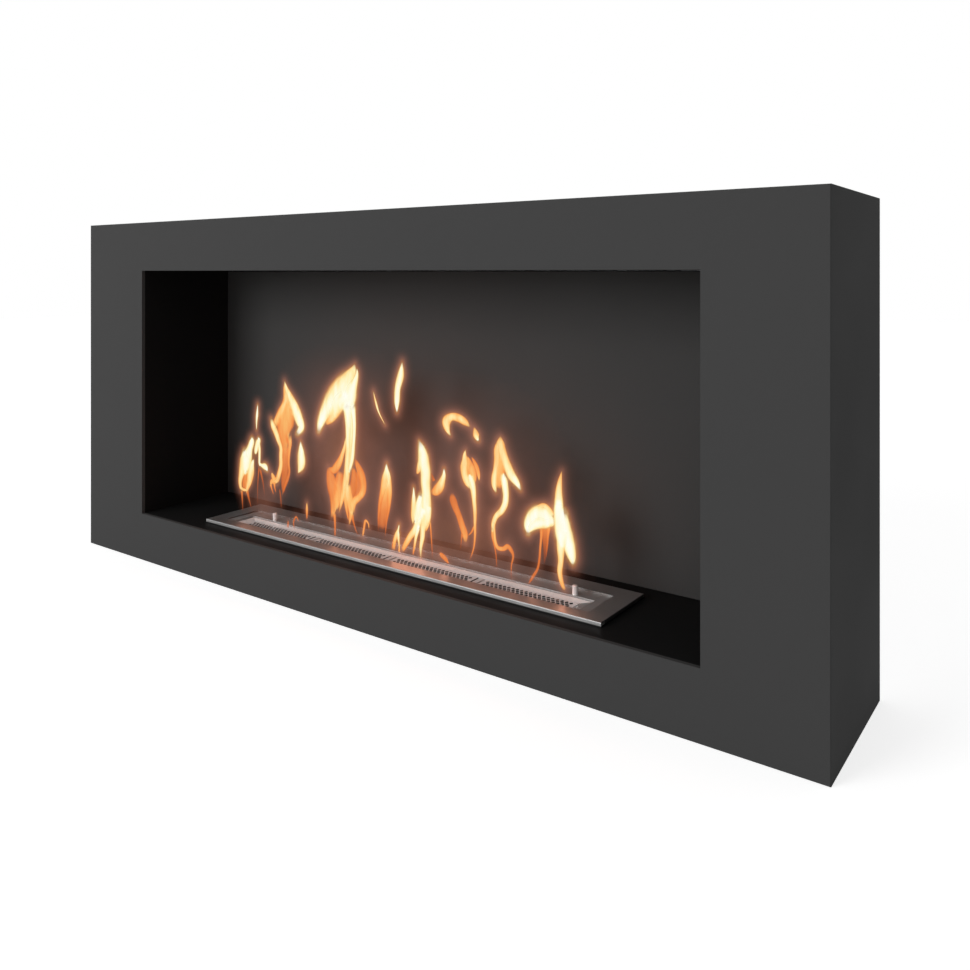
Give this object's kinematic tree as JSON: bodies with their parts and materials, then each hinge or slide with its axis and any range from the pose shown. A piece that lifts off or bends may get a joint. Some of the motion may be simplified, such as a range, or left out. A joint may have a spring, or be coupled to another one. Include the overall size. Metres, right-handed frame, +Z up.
{
  "type": "bioethanol fireplace",
  "caption": "Wide wall-hung bioethanol fireplace: steel casing, recessed black fire chamber, lift-out burner with a mesh-lined trough and a closing slide.",
  "frame": {"origin": "under the middle of the casing's outer box, at the height of its base", "axes": "+X to the right and +Z up for someone who faces the fire; +Y into the wall, so the front faces -Y"},
  "size_m": [0.9, 0.145, 0.4],
  "materials": {
    "graphite_coat": "fine matte powder coat, graphite grey",
    "black_coat": "matte heat-resistant black",
    "satin_black_coat": "satin heat-resistant dark grey",
    "zinc_sheet": "galvanised sheet",
    "zinc_fastener": "bright zinc plated",
    "brushed_plate": "brushed lengthwise",
    "bright_trough": "bright, fine brushed",
    "mesh_steel": "plain expanded sheet",
    "slide_sheet": "brushed lengthwise",
    "turned_steel": "turned, polished",
    "tank_steel": "plain mill finish",
    "ceramic_fibre": "white fibre block"
  },
  "bodies": {
    "fireplace": {"casing": "graphite_coat", "rear_cover": "zinc_sheet", "wall_rail": "zinc_sheet", "hanging_hooks": "zinc_sheet", "floor_panel": "black_coat", "ceiling_panel": "black_coat", "left_side_panel": "black_coat", "right_side_panel": "black_coat", "back_wall": "satin_black_coat", "left_floor_support": "zinc_sheet", "right_floor_support": "zinc_sheet", "chamber_studs": "zinc_fastener", "stud_nuts": "zinc_fastener", "back_wall_screws": "black_coat", "cover_screws": "zinc_fastener"},
    "burner": {"burner_plate": "brushed_plate", "trough_frame": "bright_trough", "trough_cross_bars": "bright_trough", "fuel_tank": "tank_steel", "ceramic_wool": "ceramic_fibre", "left_slide_guide": "bright_trough", "right_slide_guide": "bright_trough", "slide_stop": "bright_trough", "mesh_insert_1": "mesh_steel", "mesh_insert_2": "mesh_steel", "mesh_insert_3": "mesh_steel", "mesh_insert_4": "mesh_steel"},
    "slide": {"closing_slide": "slide_sheet", "left_slide_knob": "turned_steel", "right_slide_knob": "turned_steel"}
  },
  "joints": [
    {"name": "burner_lift", "type": "slide", "parent": "fireplace", "child": "burner", "axis": [0, 0, 1], "range_m": [0, 0.06]},
    {"name": "slide_travel", "type": "slide", "parent": "burner", "child": "slide", "axis": [0, -1, 0], "range_m": [0, 0.029]}
  ]
}
